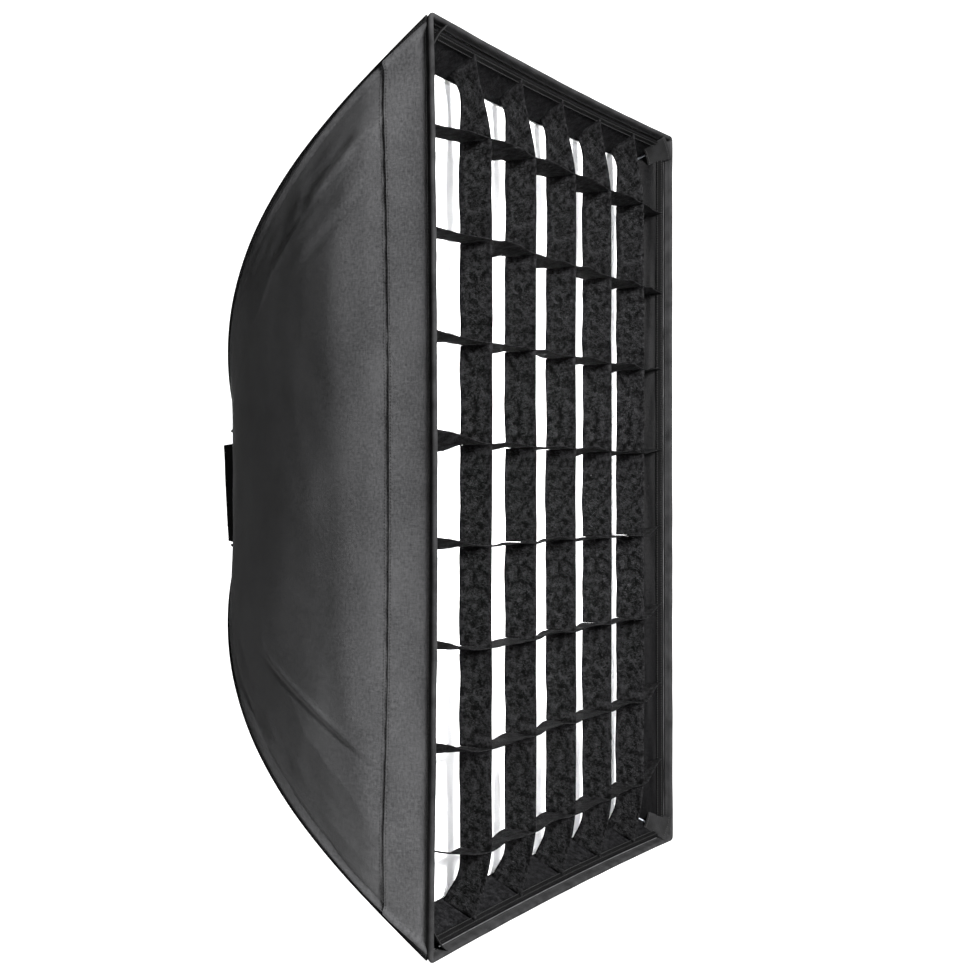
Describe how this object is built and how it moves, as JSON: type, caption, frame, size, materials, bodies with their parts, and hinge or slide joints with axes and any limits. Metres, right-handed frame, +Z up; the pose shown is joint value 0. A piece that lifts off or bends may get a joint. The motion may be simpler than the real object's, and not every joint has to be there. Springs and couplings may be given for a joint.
{
  "type": "rectangular grid softbox",
  "caption": "Rectangular rod-tensioned softbox with bayonet speedring, inner baffle, front diffuser and removable fabric grid.",
  "frame": {"origin": "centre of the bayonet insert's bore, on the speedring's rear seating face", "axes": "+Y out of the back along the box's axis towards the lamp head, -Y towards the subject, +Z up the long side, +X across"},
  "size_m": [0.8042, 0.594, 1.205],
  "materials": {
    "black_binding": "folded grosgrain binding with lock stitch",
    "black_felt": "non-woven felt",
    "black_nylon": "woven nylon, matte black outside and silver-coated inside",
    "cast_alloy": "die-cast and turned, satin",
    "cast_black": "fine-textured black powder coat on cast aluminium",
    "dark_screw": "black oxide",
    "elastic": "white ribbed elastic",
    "hook_tape": "hook side of hook-and-loop tape",
    "knob_plastic": "moulded black nylon",
    "loop_tape": "loop side of hook-and-loop tape",
    "nickel": "nickel-plated brass",
    "spring_steel": "drawn spring steel",
    "steel": "turned, satin",
    "vinyl": "soft dipped vinyl",
    "webbing": "woven polypropylene webbing",
    "white_nylon": "translucent white ripstop nylon",
    "white_tape": "white hem with hook tape",
    "zinc": "bright zinc"
  },
  "bodies": {
    "mount": {"bayonet_insert": "cast_alloy", "retaining_ring": "cast_alloy", "retaining_screws": "dark_screw"},
    "box": {"ring_body": "cast_black", "rod_sockets": "zinc", "socket_screws": "dark_screw", "rod_ferrules": "steel", "rod_end_caps": "vinyl", "corner_pockets": "webbing", "corner_seams": "black_binding", "rim_binding": "black_binding", "rear_binding": "black_binding", "lip_tape": "loop_tape", "panel_tabs": "webbing", "panel_snaps": "nickel", "rod_upper_left": "spring_steel", "rod_upper_right": "spring_steel", "rod_lower_left": "spring_steel", "rod_lower_right": "spring_steel", "left_panel": "black_nylon", "right_panel": "black_nylon", "top_panel": "black_nylon", "bottom_panel": "black_nylon", "left_lip": "black_nylon", "right_lip": "black_nylon", "top_lip": "black_nylon", "bottom_lip": "black_nylon"},
    "clamp_upper": {"clamp_dog_upper": "zinc"},
    "knob_upper": {"lock_knob_upper": "knob_plastic", "lock_stud_upper": "steel"},
    "clamp_lower": {"clamp_dog_lower": "zinc"},
    "knob_lower": {"lock_knob_lower": "knob_plastic", "lock_stud_lower": "steel"},
    "flap_left_body": {"flap_left": "black_nylon", "flap_tape_left": "hook_tape"},
    "flap_right_body": {"flap_right": "black_nylon", "flap_tape_right": "hook_tape"},
    "flap_top_body": {"flap_top": "black_nylon", "flap_tape_top": "hook_tape"},
    "flap_bottom_body": {"flap_bottom": "black_nylon", "flap_tape_bottom": "hook_tape"},
    "baffle": {"inner_baffle": "white_nylon", "baffle_straps": "elastic", "baffle_snaps": "nickel"},
    "diffuser": {"front_diffuser": "white_nylon", "diffuser_border": "white_tape"},
    "grid": {"grid_border": "black_felt", "grid_upright_1": "black_felt", "grid_upright_2": "black_felt", "grid_upright_3": "black_felt", "grid_upright_4": "black_felt", "grid_upright_5": "black_felt", "grid_row_1": "black_felt", "grid_row_2": "black_felt", "grid_row_3": "black_felt", "grid_row_4": "black_felt", "grid_row_5": "black_felt", "grid_row_6": "black_felt", "grid_row_7": "black_felt", "grid_row_8": "black_felt"}
  },
  "joints": [
    {"name": "box_swivel", "type": "hinge", "parent": "mount", "child": "box", "pos_m": [0, 0, 0], "axis": [0, 1, 0], "continuous": true},
    {"name": "clamp_upper_lift", "type": "slide", "parent": "box", "child": "clamp_upper", "axis": [0, 1, 0], "range_m": [0, 0.0008]},
    {"name": "lock_upper_turn", "type": "hinge", "parent": "clamp_upper", "child": "knob_upper", "pos_m": [0.06, 0, 0.06], "axis": [0, 1, 0], "range_deg": [0, 360]},
    {"name": "clamp_lower_lift", "type": "slide", "parent": "box", "child": "clamp_lower", "axis": [0, 1, 0], "range_m": [0, 0.0008]},
    {"name": "lock_lower_turn", "type": "hinge", "parent": "clamp_lower", "child": "knob_lower", "pos_m": [-0.06, 0, -0.06], "axis": [0, 1, 0], "range_deg": [0, 360]},
    {"name": "flap_left_fold", "type": "hinge", "parent": "box", "child": "flap_left_body", "pos_m": [-0.081, -0.0226, 0], "axis": [0, 0, 1], "range_deg": [0, 90]},
    {"name": "flap_right_fold", "type": "hinge", "parent": "box", "child": "flap_right_body", "pos_m": [0.081, -0.0226, 0], "axis": [0, 0, -1], "range_deg": [0, 90]},
    {"name": "flap_top_fold", "type": "hinge", "parent": "box", "child": "flap_top_body", "pos_m": [0, -0.0226, 0.0943], "axis": [1, 0, 0], "range_deg": [0, 90]},
    {"name": "flap_bottom_fold", "type": "hinge", "parent": "box", "child": "flap_bottom_body", "pos_m": [0, -0.0226, -0.0943], "axis": [-1, 0, 0], "range_deg": [0, 90]},
    {"name": "baffle_pull", "type": "slide", "parent": "box", "child": "baffle", "axis": [0, -1, 0], "range_m": [0, 0.42]},
    {"name": "diffuser_pull", "type": "slide", "parent": "baffle", "child": "diffuser", "axis": [0, -1, 0], "range_m": [0, 0.15]},
    {"name": "grid_pull", "type": "slide", "parent": "diffuser", "child": "grid", "axis": [0, -1, 0], "range_m": [0, 0.15]}
  ],
  "couplings": [
    {"joint": "lock_upper_turn", "follows": "clamp_upper_lift", "rad_per_m": 7854},
    {"joint": "lock_lower_turn", "follows": "clamp_lower_lift", "rad_per_m": 7854}
  ]
}
